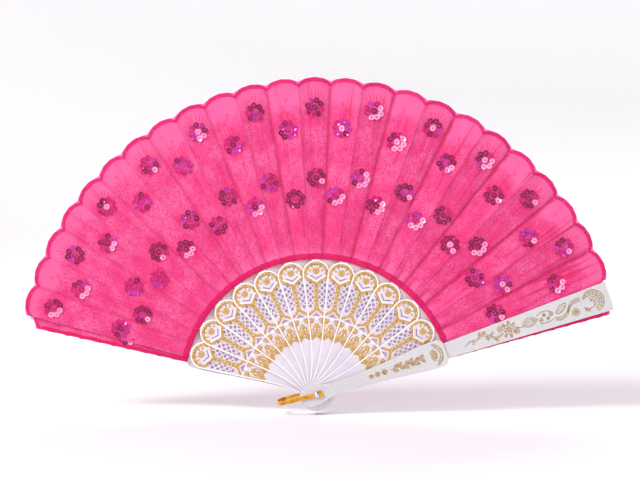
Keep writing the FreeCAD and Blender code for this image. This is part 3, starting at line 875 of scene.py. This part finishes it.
def stick_print():
    """The printed ornament of one stick, inside its raised rim: gold, white relief and a few dark strokes."""
    gold, relief, ink = Shape(), Shape(), Shape()
    gold.layer = relief.layer = ink.layer = STROKE_T
    base, top = POCKET, POCKET - PRINT_T
    proud = top - 0.05
    lobe = (LOBE_CENTRE, 0)
    steps = 84
    outer, inner = [], []
    for k in range(steps + 1):
        degrees = -118 + 236 * k / steps
        t = radians(degrees)
        room = 9.0
        if abs(degrees) > 92:
            room = (lobe_half(LOBE_CENTRE + 8.7 * cos(t)) - 1.0) / abs(sin(t))
        outer.append(polar(lobe, min(8.75 + 0.1 * sin(t * 23), room), t))
        inner.append(polar(lobe, 5.5 + 0.7 * abs(sin(t * 6)) + 0.5 * abs(sin(t)), t))
    gold.band(outer, inner, base, top)
    gold.dome((88, 0), 2.6, base, proud)
    for degrees, r, size in ((-62, 4.9, 0.95), (62, 4.9, 0.95), (-30, 5.2, 0.7), (30, 5.2, 0.7)):
        gold.dome(polar(lobe, r, radians(degrees)), size, base, top)
    for k in range(-3, 4):
        tick = [polar(lobe, q, radians(k * 9)) for q in (6.3, 7.7 - 0.12 * abs(k))]
        ink.strip(tick, 0.19, top, top - 0.04)
    for sign in (1, -1):
        def side(*points):
            return [(r, sign * across) for r, across in points]

        relief.strip(side((84.6, 7), (80.2, 0.1)), 0.4, base, top - 0.06)
        gold.strip(side((83.9, 7.6), (81.2, 3.8), (78.7, 0.2)), [1.15, 1.15, 1.25], base, top)
        gold.strip(side((60.9, 0.1), (58.6, 2.9), (56.3, 5.4)), [1.1, 1, 0.85], base, top)
        gold.plate(side((54.1, 5.2), (53.9, 1.7), (51.2, 2), (49.6, 4.5)), base, top)
        gold.strip(curve_through(side((52, 4.75), (48, 4.5), (44, 4), (39, 3.2))), 0.62, base, top)
        gold.strip(curve_through(side((50, 0.6), (47, 2.2), (44, 2.4), (41, 2.7))), 0.6, base, top)
        relief.strip(side((53.9, 1.4), (54.4, 0.7), (53.4, 0.1)), 0.35, base, proud)
        relief.dome((46.4, sign * 1.25), 0.5, base, proud, sides=12)
        for q in range(5):
            gold.dome((41.2 - 0.55 * q, sign * (0.4 + 0.72 * q)), 0.85, base, top, sides=12)
    gold.strip([(79.5, 0), (76, 0), (70, 0), (64, 0), (60.4, 0)], [1.75, 1.6, 1.5, 1.6, 1.8], base, top)
    for q in range(5):
        ink.dome((77 - 3.6 * q, 0), 0.34, top, proud, sides=10)
    relief.strip([(55, -5), (55, 5)], 0.3, base, top - 0.06)
    relief.plate([(54.6, -1.5), (54.6, 1.5), (52.6, 0)], base, top - 0.06)
    gold.strip([(50.2, 0), (47, 0), (42.6, 0)], [1.6, 1.2, 1.5], base, top)
    tuft = curve_through([(40.4, -3.2), (42.6, -1.8), (43.4, 0), (42.6, 1.8), (40.4, 3.2)])
    gold.strip(tuft, 1.1, base, top)
    return gold, relief, ink


def shade_film():
    """A thin mauve film behind the openwork of a stick: a sheet of painted shade, seen through the holes."""
    side = [(54.8, 3.3)] + [(r, lobe_half(r) - 1.25) for r in (58.2, 66.0, 74.0, 81.8)] + [(86.2, 4.9)]
    film = Shape()
    film.plate(side + [(r, -across) for r, across in reversed(side)], STICK_T + 0.07, STICK_T + 0.01, 0.02)
    return film


def print_sticks():
    """The same print and painted shade film on every stick, as one mesh each for the gold, relief, ink and
    film.
    """
    lie = lambda along, across, depth: (along, depth, across)
    names = ("gold_print", "relief", "dark_print", "shade_film")
    shapes = [*stick_print(), shade_film()]
    # the white relief takes the rim's lighter plastic, the painted highlight
    made = [s.make("pattern_" + n, lie, [m]) for s, n, m in zip(shapes, names, (GOLD, STICK_RIM_HIGHLIGHT, INK, SHADE_FILM))]
    for i in range(1, STICKS + 1):
        body = "stick_%02d" % i
        place = Matrix.Translation((0, front(body) * MM, 0)) @ Matrix.Rotation(
            -radians(GUARD_ANGLE + STEP * i), 4, "Y")
        for name, pattern, slot in zip(names, made, ("gold", "white_plastic", "gold", "pink_cloth")):
            piece = add_object("%s_%s" % (body, name), pattern.data)
            piece.matrix_world = place
            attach(piece, body)
    for pattern in made:
        bpy.data.objects.remove(pattern)


print_sticks()


# ---- gold print on the guards

def guard_art():
    """Lines of the guards' scroll work as (points, half width), on the long bar and on the lower plate."""
    bar, plate = [], []

    def line(points, half=0.26):
        bar.append((curve_through(points), half))

    def ring(at, radius, steps, half, into=bar):
        into.append((arc(at, radius, 0, 360, steps), half))

    def leaf(at, degrees, length, half=0.24, into=bar):
        """A small pointed leaf, drawn as its outline and midrib."""
        c, d = cos(radians(degrees)), sin(radians(degrees))

        def turn(u, v=0.0):
            return at[0] + u * c - v * d, at[1] + u * d + v * c

        for sign in (1, -1):
            into.append((curve_through([turn(0), turn(length * 0.4, sign * length * 0.26),
                                        turn(length * 0.8, sign * length * 0.14), turn(length)], 4), half))
        into.append(([turn(length * 0.15), turn(length * 0.8)], half * 0.8))

    def bloom(at, petals, radius, petal, half=0.22):
        for k in range(petals):
            ring(polar(at, radius, math.tau * k / petals + 0.3), petal, 10, half)
        ring(at, petal * 0.7, 10, half * 1.3)

    def ticks(centre, first, step, inner, outer, half, into):
        for k in range(9):
            t = radians(first + step * k)
            into.append(([polar(centre, q, t) for q in (inner, outer)], half))

    # a twining stem
    line([(111, -1.6), (113.5, -0.2), (116, 0.9), (118.6, 0.4)])
    bar.append((arc((117.4, -0.8), 1.7, 80, -380, 28, 0.4), 0.24))
    line([(119.5, 0.4), (124, 2.4), (128.5, 1.6), (132, -1.2), (136, -2.2), (139.5, -0.6)])
    line([(120, -0.6), (124, 1.4), (128, 0.6), (131.4, -2), (136, -3.1), (140, -1.4)], 0.2)
    for at, degrees in (((122.5, 2.4), 60), ((125, 2.9), 20), ((127.6, 0.4), -70), ((131, 0.2), 40),
                        ((133, -2.6), -50)):
        leaf(at, degrees, 3.2)
    # a bloom between two buds
    bloom((138.5, 2.4), 5, 1.5, 0.8)
    bloom((144.5, 0.2), 7, 2.6, 1.1, 0.24)
    bloom((149.8, -2.6), 5, 1.3, 0.7)
    for degrees in (35, 80, 125, -40, -85, -130):
        t = radians(degrees)
        leaf((144.5 + 3.5 * cos(t), 0.2 + 3.3 * sin(t)), degrees, 3)
    line([(148.5, 1.2), (151, -0.4), (154, -1.4), (156.6, -0.8)])
    # a pod, and loose rings
    for sign in (1, -1):
        line([(154.6, -0.2), (158, sign * 2.9 + 0.2), (162, sign * 2.7 + 0.4), (166, 0.6)], 0.28)
        line([(156.2, -0.1), (158.8, sign * 1.7 + 0.2), (161.8, sign * 1.5 + 0.4), (164.4, 0.5)], 0.2)
    line([(157.5, 0), (160.5, 0.5), (163.5, 0.6)], 0.24)
    for at, radius in (((168.4, -0.9), 1.3), ((171.2, 2), 1.0), ((173.6, -1.2), 1.1), ((176.4, 1.2), 1.4)):
        ring(at, radius, 14, 0.24)
        ring(at, radius * 0.4, 8, 0.22)
    line([(166, 3), (170, 4.4), (174.5, 4), (178, 1.6)], 0.24)
    line([(167, -3.2), (171, -3.8), (175, -3.6), (179, -2)], 0.24)
    # a wave of three lines round a broad leaf
    for offset, half in ((0, 0.28), (1.2, 0.22), (2.2, 0.18)):
        line([(r, across + offset) for r, across in ((178.5, -4.4), (183, -5.3), (187.5, -3.2), (190.5, 0.8),
                                                     (194, 3.2), (199, 3.4))], half)
    line([(179.6, 0.4), (183.5, 4.4), (188.2, 5), (187, 1.8), (182.8, -0.4), (179.6, 0.4)])
    line([(181.6, 0.8), (184, 3), (186.8, 3.6), (185.8, 1.8), (183, 0.6)], 0.2)
    bloom((193.6, -3.4), 6, 2, 0.9)
    # a shell at the tip
    shell = (207.4, 0.2)
    for radius, half in ((1.6, 0.24), (3.2, 0.26), (4.8, 0.28), (6.5, 0.3), (8.1, 0.3)):
        bar.append((arc(shell, radius, -78, 128, 22), half))
    ticks(shell, -70, 24, 5.1, 7.8, 0.2, bar)
    line([(200.4, -2), (203.4, -4.2), (207.4, -3.4), (208.4, -0.4), (205.6, 1.4)])
    leaf((201, 3.6), 40, 4)
    leaf((200.6, -3.4), -35, 4)

    # the plate: a fan of leaves, a row of sprays, and three sprigs
    plate.append((arc((86.5, 0), 7.8, -76, 76, 24), 0.5))
    plate.append((arc((86.5, 0), 6, -64, 64, 20), 0.26))
    ticks((86.5, 0), -60, 15, 6.2, 7.5, 0.24, plate)
    for degrees in range(-64, 65, 32):
        leaf((86.2, 0), degrees, 4.6, 0.24, plate)
    for k in range(6):
        x, sign = 57 + 4 * k, 1 if k % 2 else -1
        leaf((x, 0), sign * 38, 4.6, 0.34, plate)
        leaf((x + 1.4, 0), -sign * 46, 3.4, 0.28, plate)
    plate.append((curve_through([(55.5, 0), (61, 0.5), (67, -0.5), (73, 0.5), (80.5, 0)]), 0.36))
    for x, size in ((39.5, 2.4), (44, 2.8), (49, 3.2)):
        for at, degrees in ((x, 34), (x, -34), (x + 0.8, 0)):
            leaf((at, 0), degrees, size, 0.24, plate)
    return bar, plate


def print_guard(body, angle, sign, bar_face, plate_face, shorter=0.0):
    """sign 1 prints the front guard's front; -1 the rear guard's back, with the art running the same way."""
    bar, plate = guard_art()
    bar = [([(p[0] - shorter, p[1]) for p in points], half) for points, half in bar]
    for part, lines, face in (("bar", bar, bar_face), ("plate", plate, plate_face)):
        shape = Shape()
        shape.layer = STROKE_T / 4
        for points, half in lines:
            for shape.material, wide, high in ((1, half + 0.08, 0.05), (0, half * 0.85, 0.09)):
                shape.strip(points, wide, 0.0, -sign * high)
        turn = on_stick(angle, sign)
        obj = shape.make("%s_%s_print" % (body, part),
                         lambda along, across, depth: turn(along, across, face + depth), [PALE_GOLD, OUTLINE])
        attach(obj, body)


print_guard("front_guard", GUARD_ANGLE, 1, front("front_guard_bar"), front("front_guard_plate"))
print_guard("rear_guard", REAR_ANGLE, -1, back("rear_guard_bar"), back("rear_guard_plate"), REAR_SHORTER)


# ---- finishes of the CAD nodes

def finish_stick(name, node):
    """Lit and shaded copies of the plastic: the raised rim is painted lighter as a painted highlight, the face
    inside it is a little greyer, and cut walls are painted darker as painted shade.
    """
    mesh = node.data
    mesh.materials.clear()
    for material in (STICK_FACE, STICK_RIM_HIGHLIGHT, STICK_WALL_SHADE):
        mesh.materials.append(material)
    rim_depth = (front(name) + POCKET / 2) * MM
    for polygon in mesh.polygons:
        # painted shade on cut walls, painted highlight on the rim's front
        if abs(polygon.normal.y) < 0.5:
            polygon.material_index = 2
        else:
            polygon.material_index = 1 if polygon.center.y < rim_depth else 0
    mesh.shade_flat()


def finish_nodes():
    finishes = {"front_guard": GUARD_PLASTIC, "rear_guard": GUARD_PLASTIC, "rivet": SILVER, "bail": BRASS}
    for name, node in frame["nodes"].items():
        if name.startswith("stick_"):
            finish_stick(name, node)
        for start, material in finishes.items():
            if name.startswith(start):
                node.data.materials.clear()
                node.data.materials.append(material)
                node.data.shade_smooth()
                node.data.set_sharp_from_angle(angle=radians(28))


finish_nodes()


# ---- studio, in metres

FLOOR_GAP = 0.002
FLOOR_R, WALL_H, BEND_R = 2.2, 3.4, 1.2
SHADOW_PATCH = 0.75, 0.18, 0.65     # a painted shadow on the floor behind the fan, faintly darker: how far back, half width, half depth
LAMP_AIM = (0, 0, 0.1)
CAMERA_PLACE, CAMERA_PITCH, CAMERA_LENS = (0.002, -1.186, 0.176), -3.18, 93.3


def backdrop():
    """A pale bowl that is floor and wall in one, with a painted shadow behind the fan, painted shade that
    darkens the floor towards the middle, and painted light as a faint glow on the far wall.
    """
    floor_z = CAD_BOX[0].z - FLOOR_GAP
    profile = [(0.001, 0.0), (0.5 * FLOOR_R, 0.0), (FLOOR_R, 0.0)]
    for k in range(1, 13):
        t = radians(90 * k / 12)
        profile.append((FLOOR_R + BEND_R * sin(t), BEND_R * (1 - cos(t))))
    profile.append((FLOOR_R + BEND_R, WALL_H))
    sides = 96
    rings = [[(*polar((0, 0), r, t), floor_z + height) for t in turns(sides)] for r, height in profile]
    mesh = bpy.data.meshes.new("backdrop")
    faces = []
    for i in range(len(rings) - 1):
        a, b = i * sides, (i + 1) * sides
        faces += [(a + j, a + (j + 1) % sides, b + (j + 1) % sides, b + j) for j in range(sides)]
    faces.append(tuple(range(sides)))
    mesh.from_pydata([p for ring in rings for p in ring], [], faces)
    mesh.shade_smooth()
    n = Nodes("backdrop_paper")
    place = n.node("VectorMath", {0: n.where()}, operation="LENGTH").outputs["Value"]
    # painted shade: the floor is darker near the middle and lighter far out
    paper_with_centre_shade = n.mix(n.ramp(place, 0.6, 3.0), (240, 236, 240), (252, 251, 252))
    # painted shadow: a faintly darker patch on the floor behind the fan
    middle, wide, deep = SHADOW_PATCH
    behind = n.node("Mapping", {"Vector": n.where(), "Location": (0.0, -middle / deep, 0.0),
                                "Scale": (1 / wide, 1 / deep, 0.2)}).outputs[0]
    behind = n.node("VectorMath", {0: behind}, operation="LENGTH").outputs["Value"]
    # painted light: the far wall glows faintly
    n.set(Base_Color=n.mix(n.ramp(behind, 0.5, 1.15, 1.0, 0.0), paper_with_centre_shade, (222, 214, 220)), Roughness=0.9,
          Specular_IOR_Level=0.1, Emission_Color=(1.0, 0.99, 1.0, 1.0),
          Emission_Strength=n.ramp(place, 2.0, 3.6, 0.0, 0.13))
    mesh.materials.append(n.material)
    add_object("backdrop", mesh)


def lamp(name, place, size, watts, colour):
    light = bpy.data.lights.new(name, "AREA")
    light.shape, light.size, light.energy, light.color = "DISK", size, watts, colour
    obj = add_object(name, light)
    obj.location = place
    obj.rotation_mode = "QUATERNION"
    obj.rotation_quaternion = (Vector(LAMP_AIM) - Vector(place)).to_track_quat("-Z", "Y")


def lights():
    """Large soft lights and a quiet sky."""
    lamp("key", (-1.30, -0.95, 1.35), 0.7, 34.0, (1.0, 0.98, 0.96))
    lamp("fill", (1.5, -1.4, 0.8), 1.4, 5.0, (0.95, 0.97, 1.0))
    lamp("back", (0.6, 1.9, 1.6), 1.2, 20.0, (1.0, 0.99, 0.98))
    world = bpy.data.worlds.new("studio")
    world.use_nodes = True
    background = world.node_tree.nodes["Background"]
    background.inputs["Color"].default_value = (0.96, 0.965, 1.0, 1.0)
    background.inputs["Strength"].default_value = 0.455
    scene = bpy.context.scene
    scene.world = world
    scene.view_settings.view_transform = "Standard"
    scene.view_settings.look = "None"


def camera():
    """Straight on to the fan's face from a little above the middle, looking slightly down."""
    data = bpy.data.cameras.new("camera")
    data.sensor_width, data.lens = 36.0, CAMERA_LENS
    data.dof.use_dof = False
    obj = add_object("camera", data)
    obj.location = CAMERA_PLACE
    obj.rotation_euler = (radians(90 + CAMERA_PITCH), 0, 0)
    bpy.context.scene.camera = obj


backdrop()
lights()
camera()
